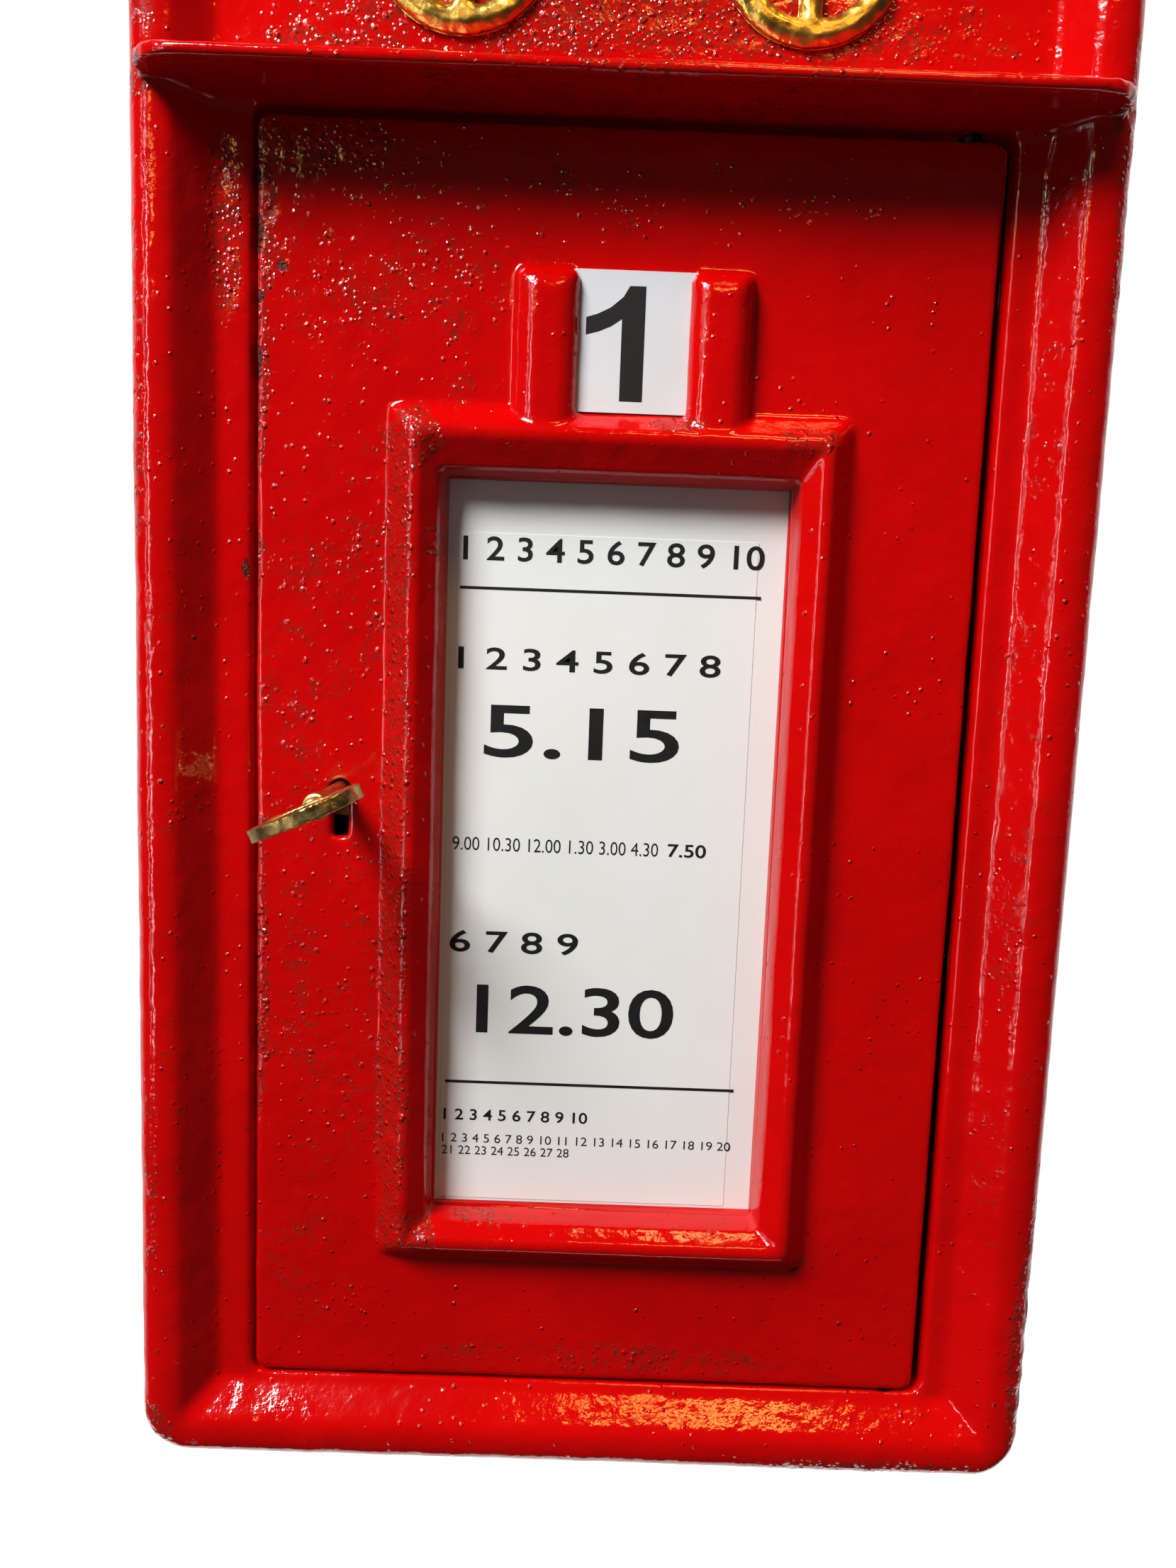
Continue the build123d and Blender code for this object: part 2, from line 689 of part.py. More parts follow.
def make_door_casting():
    door = slab(panel(door_left, door_right, door_bottom, door_top, door_corner_radius), 0, door_thickness)
    door = fillet(door.edges().group_by(Axis.Y)[0], door_edge_round)
    door += make_moulding()
    for bar in make_guide_bars():
        door += bar
    door -= window_opening()
    # seat and grooves for the number tablet
    half = tablet_width / 2 + tablet_clearance
    door -= block(tablet_centre_x - half, tablet_centre_x + half, -tablet_thickness - 2 * tablet_clearance, 0,
                  tablet_bottom, guide_bar_top + over)
    # bosses on the back for the hinge pins and the straps
    for z0 in (door_bottom, door_top - hinge_boss_length):
        door += rod_z(hinge_x, hinge_y, hinge_boss_radius, z0, z0 + hinge_boss_length)
        door -= rod_z(hinge_x, hinge_y, pin_radius + pin_running_clearance, z0 - over, z0 + hinge_boss_length + over)
    for x, z in strap_boss_places():
        door += rod_y(x, z, strap_boss_radius, door_thickness - over, backing_back)
        door -= rod_y(x, z, strap_screw_radius + screw_clearance, strap_front - strap_screw_bite, backing_back + over)
    # keyhole
    hole = shank_radius + shank_clearance
    door -= rod_y(key_x, key_z, hole, -over, door_thickness + over)
    door -= block(key_x - keyhole_slot_width / 2, key_x + keyhole_slot_width / 2, -over, door_thickness + over,
                  key_z - bit_radius - bit_clearance, key_z)
    for x, z in lock_screw_places():
        door -= rod_y(x, z, lock_screw_radius + screw_clearance, door_thickness - lock_screw_bite, door_thickness + over)
    return door


def make_notice(front, thickness):
    """A flat sheet behind the window, a little larger than it all round."""
    face = panel(backing_left, backing_right, window_bottom - notice_margin, window_top + notice_margin,
                 least_corner_radius)
    return slab(face, front, front + thickness)


def make_straps():
    straps = []
    left = backing_left - strap_boss_offset - strap_end
    right = backing_right + strap_boss_offset + strap_end
    for z in strap_heights():
        face = panel(left, right, z - strap_width / 2, z + strap_width / 2, strap_end * 0.9)
        strap = slab(face, strap_front, strap_back)
        for x, boss_z in strap_boss_places():
            strap -= rod_y(x, boss_z, strap_screw_radius + screw_clearance, 0, strap_back + over)
        straps.append(strap)
    return straps


def make_strap_screws():
    seat = strap_back + layer_gap
    return [
        screw_y(x, z, strap_screw_radius, strap_screw_head_radius, strap_screw_head, seat,
                strap_screw_bite + strap_thickness - 0.3)
        for x, z in strap_boss_places()
    ]


def make_tablet():
    face = panel(tablet_centre_x - tablet_width / 2, tablet_centre_x + tablet_width / 2,
                 tablet_bottom + tablet_clearance, tablet_bottom + tablet_clearance + tablet_height, 0.8)
    return slab(face, -tablet_clearance - tablet_thickness, -tablet_clearance)


# ---------------------------------------------------------------- lock on the back of the door
def cap_post_places():
    low = case_z[0] + cap_post_inset
    left = case_x[0] + cap_post_inset
    return [(left, low), (case_x[1] - cap_post_inset, low), (left, case_z[1] - cap_post_inset)]


def make_lock_case():
    """An open box with ears, the posts for the cap's screws and a window for the bolt in its left wall."""
    case = block(*case_x, case_front, case_back, *case_z)
    case -= block(case_x[0] + case_wall, case_x[1] - case_wall, case_front + case_wall, case_back,
                  case_z[0] + case_wall, case_z[1] - case_wall)
    for x, z in lock_screw_places():
        ear = block(x - ear_width / 2, x + ear_width / 2, case_front, case_front + ear_thickness,
                    z - ear_length / 2, z + ear_length / 2)
        case += ear
        case -= rod_y(x, z, lock_screw_radius + screw_clearance, 0, case_front + ear_thickness + over)
    for x, z in cap_post_places():
        case += rod_y(x, z, cap_post_radius, case_front, case_back)
        case -= rod_y(x, z, cap_screw_radius + screw_clearance, case_back - cap_screw_bite, case_back + over)
    hole = shank_radius + shank_clearance
    case -= rod_y(key_x, key_z, hole, 0, case_front + case_wall + over)
    case -= block(key_x - keyhole_slot_width / 2, key_x + keyhole_slot_width / 2, 0, case_front + case_wall + over,
                  key_z - bit_radius - bit_clearance, key_z)
    case -= block(case_x[0] - 1, case_x[0] + case_wall + over, bolt_front - bolt_gap / 2, bolt_back + bolt_gap / 2,
                  key_z + bolt_low - bolt_gap, key_z + bolt_high + bolt_gap)
    return case


def make_lock_cap():
    cap = block(*case_x, cap_front, cap_back, *case_z)
    cap -= rod_y(key_x, key_z, shank_radius + shank_clearance, 0, cap_back + over)
    for x, z in cap_post_places():
        cap -= rod_y(x, z, cap_screw_radius + screw_clearance, 0, cap_back + over)
    return cap


def make_cap_screws():
    seat = cap_back + layer_gap
    return [
        screw_y(x, z, cap_screw_radius, cap_screw_head_radius, cap_screw_head, seat,
                cap_thickness + cap_screw_bite - screw_tip_gap)
        for x, z in cap_post_places()
    ]


def make_lock_screws():
    seat = case_front + ear_thickness + layer_gap
    return [
        screw_y(x, z, lock_screw_radius, lock_screw_head_radius, lock_screw_head, seat,
                ear_thickness + lock_screw_bite - 0.3)
        for x, z in lock_screw_places()
    ]


def make_lever_post():
    return rod_y(key_x + post_x, key_z + post_z, post_radius, case_front + case_wall + layer_gap, case_back)


def make_lever(index):
    """One flat lever on the post, with the belly that the key's bit passes under and a window for the stump."""
    front = levers_front + index * lever_pitch
    back = front + lever_thickness
    lever = block(key_x - lever_left, key_x + post_x, front, back, key_z + lever_low, key_z + lever_high)
    lever += rod_y(key_x + post_x, key_z + post_z, post_boss_radius, front, back)
    lever -= rod_y(key_x, key_z, lever_belly, front - over, back + over)
    left, right, low, high = lever_window
    lever -= block(key_x + left, key_x + right, front - over, back + over, key_z + low, key_z + high)
    return lever - rod_y(key_x + post_x, key_z + post_z, post_radius + pin_running_clearance, front - over, back + over)


def make_lever_spring(index):
    """A short leaf spring on top of a lever."""
    front = levers_front + index * lever_pitch
    foot_x = key_x - lever_left + spring_inset + spring_length
    foot_z = key_z + lever_high + layer_gap
    profile = Polyline(
        (foot_x, foot_z),
        (foot_x - spring_length, foot_z + spring_rise),
        (foot_x - spring_length, foot_z + spring_rise + spring_thickness),
        (foot_x + spring_thickness, foot_z + spring_thickness),
        (foot_x + spring_thickness, foot_z),
        close=True,
    )
    return slab(make_face(profile), front, front + lever_thickness)


def make_lock_bolt():
    bolt = block(bolt_left, bolt_left + bolt_length, bolt_front, bolt_back, key_z + bolt_low, key_z + bolt_high)
    bolt -= block(key_x + talon_left, bolt_left + bolt_length + over, bolt_front - over, bolt_back + over,
                  key_z + bolt_low - over, key_z + talon_high)
    ends = bolt.edges().filter_by(Axis.Y).group_by(Axis.X)[0]
    return fillet(ends, least_corner_radius / 2)


def make_bolt_stump():
    return rod_y(key_x + stump_x, key_z + stump_z, stump_radius, levers_front, bolt_front - layer_gap)


def make_curtain():
    """A slotted disc round the key's shank that closes the keyhole from inside."""
    disc = rod_y(key_x, key_z, curtain_radius, curtain_front, curtain_front + curtain_thickness)
    disc -= rod_y(key_x, key_z, shank_radius + layer_gap, 0, case_back)
    slot = block(key_x - bit_thickness * 0.6, key_x + bit_thickness * 0.6, 0, case_back,
                 key_z - curtain_radius - over, key_z - shank_radius)
    return turn_with_key(disc - slot)


def turn_with_key(piece):
    """Turns a piece made with the key's bit straight down to where the key stands."""
    return Pos(key_x, 0, key_z) * Rot(0, key_turned, 0) * Pos(-key_x, 0, -key_z) * piece


def make_key():
    bit_front = curtain_front + curtain_thickness + lever_gap
    bit_back = bolt_back - layer_gap
    bow_back = -bow_reach + bow_length
    key = rod_y(key_x, key_z, shank_radius, bow_back - bow_band / 2, cap_back - layer_gap)
    key += rod_y(key_x, key_z, collar_radius, bow_back, bow_back + collar_length)
    bit = block(key_x - bit_thickness / 2, key_x + bit_thickness / 2, bit_front, bit_back,
                key_z - bit_radius, key_z)
    for i in range(lever_count):
        # steps of unequal depth, one to each lever
        front = levers_front + i * lever_pitch
        depth = bit_steps[i % len(bit_steps)]
        bit -= block(key_x - bit_thickness, key_x + bit_thickness, front - lever_gap / 2,
                     front + lever_pitch - lever_gap / 2, key_z - bit_radius - over, key_z - bit_radius + depth)
    key += bit
    ring = Plane.YZ.offset(key_x - bow_thickness / 2) * (
        Pos(bow_back - bow_length / 2, key_z)
        * (Ellipse(bow_length / 2, bow_width / 2) - Ellipse(bow_length / 2 - bow_band, bow_width / 2 - bow_band))
    )
    key += extrude(ring, amount=bow_thickness)
    return turn_with_key(key)


# ---------------------------------------------------------------- export
def write(name, shape):
    """Moves a piece, or a group of like pieces, into the row frame and writes its STEP file."""
    place = Pos(0, -wall_to_face, -mount_height)
    if isinstance(shape, list):
        shape = Compound(children=[place * one for one in shape])
    else:
        shape = place * shape
    export_step(shape, f"parts/{name}.step")


os.makedirs("parts", exist_ok=True)
nodes = {
    "body_casting": make_body_casting(),
    "back_plate": make_back_plate(),
    "back_plate_screws": make_back_plate_screws(),
    "slot_baffle": make_baffle(),
    "baffle_screws": make_baffle_screws(),
    "gold_ornaments": make_ornaments(),
    "hinge_pin_upper": make_upper_pin(),
    "hinge_set_screw": make_set_screw(),
    "hinge_pin_lower": make_lower_pin(),
    "hinge_washer": make_hinge_washer(),
    "strike_plate": make_strike_plate(),
    "strike_screws": make_strike_screws(),
    "door_casting": make_door_casting(),
    "notice_card": make_notice(notice_front, notice_thickness),
    "notice_backing": make_notice(backing_front, backing_thickness),
    "retaining_straps": make_straps(),
    "strap_screws": make_strap_screws(),
    "number_tablet": make_tablet(),
    "lock_case": make_lock_case(),
    "lock_cap": make_lock_cap(),
    "lock_cap_screws": make_cap_screws(),
    "lock_mounting_screws": make_lock_screws(),
    "lever_post": make_lever_post(),
    "lock_bolt": make_lock_bolt(),
    "bolt_stump": make_bolt_stump(),
    "key_curtain": make_curtain(),
    "key": make_key(),
    "lever_springs": [make_lever_spring(i) for i in range(lever_count)],
}
for i in range(lever_count):
    nodes[f"lever_{i + 1}"] = make_lever(i)
for name, shape in nodes.items():
    write(name, shape)
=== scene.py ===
"""The looks of a small cast-iron wall letter box: red gloss, gilded sprigs, a printed notice."""
import json
import math

import bmesh
import bpy
import numpy as np
from mathutils import Matrix, Vector
from mathutils.kdtree import KDTree

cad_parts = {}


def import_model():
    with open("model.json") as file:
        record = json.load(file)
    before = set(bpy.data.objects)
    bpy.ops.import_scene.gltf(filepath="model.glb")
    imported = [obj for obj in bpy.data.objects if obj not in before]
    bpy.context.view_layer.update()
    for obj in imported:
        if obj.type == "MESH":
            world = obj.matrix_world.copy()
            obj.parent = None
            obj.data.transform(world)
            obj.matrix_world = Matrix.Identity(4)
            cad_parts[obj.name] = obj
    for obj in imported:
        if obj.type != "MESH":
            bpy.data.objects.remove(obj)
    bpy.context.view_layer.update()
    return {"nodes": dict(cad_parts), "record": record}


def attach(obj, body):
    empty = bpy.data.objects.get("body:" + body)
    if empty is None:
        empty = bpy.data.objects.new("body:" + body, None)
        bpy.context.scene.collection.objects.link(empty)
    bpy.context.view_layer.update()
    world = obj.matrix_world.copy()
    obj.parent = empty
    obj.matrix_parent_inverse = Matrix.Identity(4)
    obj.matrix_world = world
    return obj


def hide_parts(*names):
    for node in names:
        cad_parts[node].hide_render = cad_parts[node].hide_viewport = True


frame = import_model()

scene = bpy.context.scene

MM = 0.001
FACE = -0.168                      # the door's front face

# Places on the front are given in millimetres: x from the box's middle, depth into the box from the
# door's face, and z up from a level this far under the frame's origin, near the box's lower edge.
BASE = 240.0
WINDOW = (-45.3, 46.7, 72.6, 278.2)     # left, right, low, high


def place(x, depth, z):
    """The point in the frame, in metres, of a place on the front."""
    return Vector((x * MM, FACE + depth * MM, (z - BASE) * MM))


# ---------------------------------------------------------------- meshes
def new_object(name, mesh):
    obj = bpy.data.objects.new(name, mesh)
    scene.collection.objects.link(obj)
    return obj


def cad_copy(node, name):
    """A copy of a CAD node's mesh, welded."""
    bm = bmesh.new()
    bm.from_mesh(frame["nodes"][node].data)
    bmesh.ops.remove_doubles(bm, verts=bm.verts, dist=1e-6)
    mesh = bpy.data.meshes.new(name)
    bm.to_mesh(mesh)
    bm.free()
    return new_object(name, mesh)


def cut(obj, y, front):
    """Keeps what lies in front of (or behind) a plane across Y and closes the cut."""
    on_plane = 1e-5
    bm = bmesh.new()
    bm.from_mesh(obj.data)
    every = bm.verts[:] + bm.edges[:] + bm.faces[:]
    bmesh.ops.bisect_plane(bm, geom=every, dist=1e-7, plane_co=(0, y, 0),
                           plane_no=(0, 1 if front else -1, 0), clear_outer=True)
    rim = [e for e in bm.edges
           if e.is_boundary and all(abs(v.co.y - y) < on_plane for v in e.verts)]
    bmesh.ops.triangle_fill(bm, use_beauty=True, use_dissolve=False, edges=rim)
    bmesh.ops.recalc_face_normals(bm, faces=bm.faces)
    bm.to_mesh(obj.data)
    bm.free()


def apply_modifiers(obj):
    graph = bpy.context.evaluated_depsgraph_get()
    mesh = bpy.data.meshes.new_from_object(obj.evaluated_get(graph))
    old = obj.data
    obj.modifiers.clear()
    obj.data = mesh
    bpy.data.meshes.remove(old)


def remesh(obj, voxel, soften, factor=0.5):
    """An even skin over the object's shape, softened as thick paint softens an edge."""
    skin = obj.modifiers.new("skin", "REMESH")
    skin.mode = "VOXEL"
    skin.voxel_size = voxel
    skin.use_smooth_shade = True
    even = obj.modifiers.new("soften", "SMOOTH")
    even.factor = factor
    even.iterations = soften
    apply_modifiers(obj)


def smooth(obj, angle):
    """Smooth shading, with the edges left sharp that turn by more than an angle in degrees."""
    obj.data.shade_smooth()
    obj.data.set_sharp_from_angle(angle=math.radians(angle))


def points(obj):
    co = np.empty(len(obj.data.vertices) * 3)
    obj.data.vertices.foreach_get("co", co)
    return co.reshape(-1, 3)


def normals(obj):
    n = np.empty(len(obj.data.vertices) * 3)
    obj.data.vertices.foreach_get("normal", n)
    return n.reshape(-1, 3)


def set_points(obj, co):
    obj.data.vertices.foreach_set("co", np.ascontiguousarray(co).ravel())
    obj.data.update()


def noise(p, size, seed):
    """Smooth noise from -1 to 1 with features of one size, from a hash of each cell's corners."""
    q = p / size + 31.7 * seed
    cell = np.floor(q).astype(np.int64)
    f = q - cell
    f = f * f * (3 - 2 * f)
    low_bits, half_range = 0xFFFFFFF, 134217728.0
    out = np.zeros(len(p))
    for dx in (0, 1):
        for dy in (0, 1):
            for dz in (0, 1):
                n = ((cell[:, 0] + dx) * 73856093 ^ (cell[:, 1] + dy) * 19349663
                     ^ (cell[:, 2] + dz) * 83492791)
                n = (n ^ (n >> 13)) & low_bits
                n = (n * 1274126177 + seed * 7919) & low_bits
                n = ((n ^ (n >> 15)) * 668265263) & low_bits
                value = n / half_range - 1
                w = ((f[:, 0] if dx else 1 - f[:, 0]) * (f[:, 1] if dy else 1 - f[:, 1])
                     * (f[:, 2] if dz else 1 - f[:, 2]))
                out += value * w
    return out


def unevenness(p, *layers):
    """Several sizes of noise together; each is height, size, seed."""
    return sum(height * noise(p, size, seed) for height, size, seed in layers)


def step(low, high, x):
    """0 below low, 1 above high, and a smooth rise between them."""
    t = np.clip((x - low) / (high - low), 0, 1)
    return t * t * (3 - 2 * t)


def spot(p, x, z, rx, rz):
    """1 in the middle of an oval patch on the front, 0 outside it."""
    d = np.hypot((p[:, 0] / MM - x) / rx, (p[:, 2] / MM + BASE - z) / rz)
    return 1 - step(0.35, 1.0, d)


def attribute(obj, name, values):
    """A number at each of the mesh's points, which its material reads by name."""
    a = obj.data.attributes.new(name, "FLOAT", "POINT")
    a.data.foreach_set("value", np.ascontiguousarray(values, dtype=np.float32))


def join(name, *objs):
    """One object from several closed shells."""
    bm = bmesh.new()
    for o in objs:
        bm.from_mesh(o.data)
    mesh = bpy.data.meshes.new(name)
    bm.to_mesh(mesh)
    bm.free()
    for o in objs:
        bpy.data.objects.remove(o)
    return new_object(name, mesh)


def keep_flats(obj):
    """Gives each wide flat its own normal, so that no corner's shading runs across it."""
    width = 12 * MM                # a wide flat's least area over its greatest length
    tilt_steps, level_step = 500, 0.05 * MM      # faces within one step lie in the same plane
    mesh = obj.data
    faces = len(mesh.polygons)
    normal, centre = np.empty(faces * 3), np.empty(faces * 3)
    area, sides = np.empty(faces), np.empty(faces, dtype=np.int32)
    mesh.polygons.foreach_get("normal", normal)
    mesh.polygons.foreach_get("center", centre)
    mesh.polygons.foreach_get("area", area)
    mesh.polygons.foreach_get("loop_total", sides)
    normal, centre = normal.reshape(-1, 3), centre.reshape(-1, 3)
    plane = np.c_[normal * tilt_steps, (normal * centre).sum(1) / level_step]
    _, group = np.unique(np.round(plane).astype(np.int64), axis=0, return_inverse=True)
    group = group.ravel()
    corner = np.empty(len(mesh.loops), dtype=np.int32)
    mesh.loops.foreach_get("vertex_index", corner)
    face = np.repeat(np.arange(faces), sides)
    co = points(obj)[corner]
    low = np.full((group.max() + 1, 3), np.inf)
    high = -low
    np.minimum.at(low, group[face], co)
    np.maximum.at(high, group[face], co)
    flat = np.bincount(group, area) > width * np.linalg.norm(high - low, axis=1)
    shade = np.empty(len(mesh.loops) * 3)
    mesh.corner_normals.foreach_get("vector", shade)
    shade = shade.reshape(-1, 3)
    chosen = flat[group[face]]
    shade[chosen] = normal[face[chosen]]
    mesh.normals_split_custom_set(shade)


# ---------------------------------------------------------------- shaders
class Shader:
    """A node material with a few short words for building it."""

    def __init__(self, name, **sockets):
        self.material = bpy.data.materials.new(name)
        self.material.use_nodes = True
        self.tree = self.material.node_tree
        self.tree.nodes.clear()
        self.out = self.tree.nodes.new("ShaderNodeOutputMaterial")
        self.bsdf = self.tree.nodes.new("ShaderNodeBsdfPrincipled")
        self.tree.links.new(self.bsdf.outputs[0], self.out.inputs[0])
        self.position = self.tree.nodes.new("ShaderNodeTexCoord").outputs["Object"]
        for key, value in sockets.items():
            self.set(key.replace("_", " "), value)

    def set(self, socket, value):
        target = self.bsdf.inputs[socket]
        if isinstance(value, bpy.types.NodeSocket):
            self.tree.links.new(value, target)
        else:
            target.default_value = value
        return self

    def node(self, kind, inputs=(), **settings):
        n = self.tree.nodes.new("ShaderNode" + kind)
        for key, value in settings.items():
            setattr(n, key, value)
        for key, value in dict(inputs).items():
            if isinstance(value, bpy.types.NodeSocket):
                self.tree.links.new(value, n.inputs[key])
            else:
                n.inputs[key].default_value = value
        return n

    def stretched(self, x, y, z):
        return self.node("Mapping", {"Vector": self.position, "Scale": (x, y, z)}).outputs[0]

    def noise(self, scale, detail=2.0, rough=0.5, where=None):
        return self.node("TexNoise", {"Vector": where or self.position, "Scale": scale,
                                      "Detail": detail, "Roughness": rough}).outputs["Fac"]

    def dots(self, scale, low, high, keep_low, keep_high):
        """A mound in each cell that is kept: 0 from a distance of low on, and 1 within high."""
        cell = self.node("TexVoronoi", {"Vector": self.position, "Scale": scale}).outputs
        lot = self.node("SeparateColor", {"Color": cell["Color"]}).outputs[0]
        kept = self.ramp(lot, keep_low, keep_high)
        return self.times(self.ramp(cell["Distance"], low, high), kept)

    def ramp(self, x, low, high, a=0.0, b=1.0):
        return self.node("MapRange", {"Value": x, "From Min": low, "From Max": high,
                                      "To Min": a, "To Max": b},
                         interpolation_type="SMOOTHSTEP").outputs["Result"]

    def math(self, op, a, b):
        return self.node("Math", {0: a, 1: b}, operation=op).outputs[0]

    def times(self, a, b):
        return self.math("MULTIPLY", a, b)

    def plus(self, a, b):
        return self.math("ADD", a, b)

    def most(self, a, b):
        return self.math("MAXIMUM", a, b)

    def mix(self, t, a, b):
        n = self.node("Mix", data_type="RGBA", clamp_factor=True)
        for socket, value in ((n.inputs[0], t), (n.inputs[6], a), (n.inputs[7], b)):
            if isinstance(value, bpy.types.NodeSocket):
                self.tree.links.new(value, socket)
            else:
                socket.default_value = (*value, 1.0)
        return n.outputs[2]

    def attribute(self, name):
        return self.node("Attribute", attribute_name=name).outputs["Fac"]

    def bump(self, height):
        """Turns a height in millimetres into a bumped normal."""
        self.set("Normal", self.node("Bump", {"Height": height, "Strength": 1.0,
                                              "Distance": MM}).outputs[0])


def red_enamel(name):
    """Thick, deep red gloss over cast iron, with waves, wrinkles, nibs, grit, pits and a few chips.
    The mesh's attribute "rough" says where the iron is gritty, and "chip" where paint is lost."""
    s = Shader(name, IOR=1.5)
    waves = s.noise(95, 2, 0.45)
    peel = s.noise(330, 2, 0.5)
    fine = s.noise(900, 2, 0.6)
    rough_here = s.attribute("rough")

    # deep red, darker in the waves, and with painted shade round each nib and dot
    nib = s.dots(135, 0.11, 0.02, 0.80, 0.82)
    grouped = s.ramp(s.plus(s.noise(42, 3, 0.6), s.times(rough_here, 0.34)), 0.47, 0.57)
    dot = s.times(s.dots(330, 0.24, 0.03, 0.46, 0.50), grouped)
    broad = s.ramp(s.noise(14, 3, 0.55), 0.3, 0.7)
    colour = s.mix(broad, (0.53, 0.0006, 0.0008), (0.62, 0.0012, 0.0010))
    colour = s.mix(s.times(s.ramp(waves, 0.52, 0.75), 0.2), colour, (0.44, 0.0006, 0.0006))
    # painted shade: each nib and dot is darkened round its mound, where the shade beside a bump
    # would fall
    colour = s.mix(s.times(s.most(nib, dot), 0.5), colour, (0.16, 0.0008, 0.0008))

    # orange peel, waves, wrinkles, nibs and dots
    wrinkled = s.ramp(s.noise(38, 3, 0.6), 0.50, 0.68)
    height = s.plus(s.plus(s.times(peel, 0.13), s.times(fine, 0.035)), s.times(waves, 0.24))
    height = s.plus(height, s.times(s.times(wrinkled, s.noise(520, 3, 0.6)), 0.14))
    height = s.plus(height, s.plus(s.times(nib, 0.42), s.times(dot, 0.30)))
    gloss = s.ramp(s.noise(60, 3, 0.6), 0.35, 0.75, 0.07, 0.12)

    # gritty patches, with rust showing through
    grain = s.dots(760, 0.50, 0.05, 0.30, 0.50)
    lump = s.dots(400, 0.44, 0.04, 0.45, 0.55)
    edge = s.plus(s.times(rough_here, 1.15), s.noise(75, 3, 0.6))
    edge = s.plus(edge, s.times(s.noise(300, 3, 0.65), 0.8))
    rough = s.ramp(edge, 1.22, 1.62)
    height = s.plus(height, s.times(rough, s.plus(s.times(grain, 0.22), s.times(lump, 0.46))))
    rust = s.times(rough, s.ramp(s.noise(950, 3, 0.7), 0.44, 0.58))
    colour = s.mix(s.times(rust, 0.75), colour, (0.120, 0.018, 0.009))

    # chips down to dull brown iron
    lost = s.ramp(s.plus(s.attribute("chip"), s.times(s.noise(420, 3, 0.7), 1.5)), 1.42, 1.52)
    bare = s.mix(s.ramp(fine, 0.4, 0.6), (0.070, 0.006, 0.004), (0.150, 0.022, 0.014))
    colour = s.mix(lost, colour, bare)
    height = s.plus(height, s.times(lost, s.plus(s.times(fine, 0.7), -0.5)))
    gloss = s.plus(s.plus(gloss, s.times(rough, 0.04)), s.times(lost, 0.30))
    s.set("Specular IOR Level", s.ramp(lost, 0.0, 1.0, 0.5, 0.14))

    # dark pits in the tops of a few nibs
    pit = s.dots(135, 0.10, 0.03, 0.93, 0.94)
    colour = s.mix(s.times(pit, 0.85), colour, (0.05, 0.006, 0.004))
    s.set("Base Color", colour).set("Roughness", gloss)
    s.bump(height)
    return s.material


def black_paint(name):
    """Satin black, a little uneven."""
    s = Shader(name, IOR=1.45)
    s.set("Base Color", s.mix(s.noise(60, 3), (0.008, 0.008, 0.009), (0.022, 0.021, 0.020)))
    s.set("Roughness", s.ramp(s.noise(80, 3), 0.3, 0.7, 0.3, 0.5))
    s.bump(s.times(s.noise(380, 3, 0.6), 0.08))
    return s.material


def metal(name, low, high, tarnish, rough, grain, depth, scale=420):
    """Worn metal between a low and a high shade, with a grain along one direction, gloss that
    varies, and tarnish in patches."""
    s = Shader(name, Metallic=1.0)
    lines = s.noise(scale, 4, 0.7, where=s.stretched(*grain))
    patch = s.ramp(s.noise(55, 4, 0.65), 0.4, 0.68)
    s.set("Base Color", s.mix(s.times(patch, 0.7), s.mix(lines, low, high), tarnish))
    brushed = s.ramp(lines, 0.3, 0.7, rough - 0.06, rough + 0.08)
    s.set("Roughness", s.plus(s.times(patch, 0.12), brushed))
    s.bump(s.plus(s.times(lines, depth), s.times(s.noise(140, 2), depth * 1.5)))
    return s.material


def gold_paint(name):
    """Bright gold leaf paint over hammered casting."""
    s = Shader(name, Metallic=1.0)
    hammer = s.node("TexVoronoi", {"Vector": s.position, "Scale": 210}).outputs["Distance"]
    colour = s.mix(s.noise(160, 3, 0.6), (0.50, 0.28, 0.040), (0.84, 0.60, 0.15))
    crack = s.ramp(s.noise(300, 4, 0.7), 0.63, 0.72)
    colour = s.mix(s.times(crack, 0.8), colour, (0.16, 0.07, 0.02))
    s.set("Base Color", colour).set("Roughness", s.ramp(s.noise(120, 3), 0.3, 0.7, 0.22, 0.36))
    s.bump(s.plus(s.times(s.ramp(hammer, 0.0, 0.7), 0.35), s.times(s.noise(650, 3, 0.6), 0.10)))
    return s.material


def card(name, shade):
    """Printed card: faint mottling and fibre, hardly any gloss."""
    s = Shader(name, IOR=1.45)
    warm = tuple(c * k for c, k in zip(shade, (0.965, 0.97, 0.955)))
    colour = s.mix(s.ramp(s.noise(18, 4, 0.55), 0.35, 0.7), shade, warm)
    colour = s.mix(s.ramp(s.noise(1500, 2, 0.7), 0.66, 0.74, 0.0, 0.10), colour, (0.55, 0.55, 0.53))
    s.set("Base Color", colour).set("Roughness", s.ramp(s.noise(40, 2), 0.3, 0.7, 0.42, 0.55))
    s.bump(s.plus(s.times(s.noise(1100, 3, 0.6), 0.012), s.times(s.noise(26, 2), 0.25)))
    return s.material


def ink(name):
    """Matt black print."""
    s = Shader(name, IOR=1.35)
    s.set("Base Color", s.mix(s.noise(900, 3, 0.7), (0.004, 0.004, 0.005), (0.010, 0.010, 0.011)))
    s.set("Roughness", s.ramp(s.noise(300, 2), 0.3, 0.7, 0.55, 0.70))
    s.bump(s.times(s.noise(1100, 2), 0.01))
    return s.material


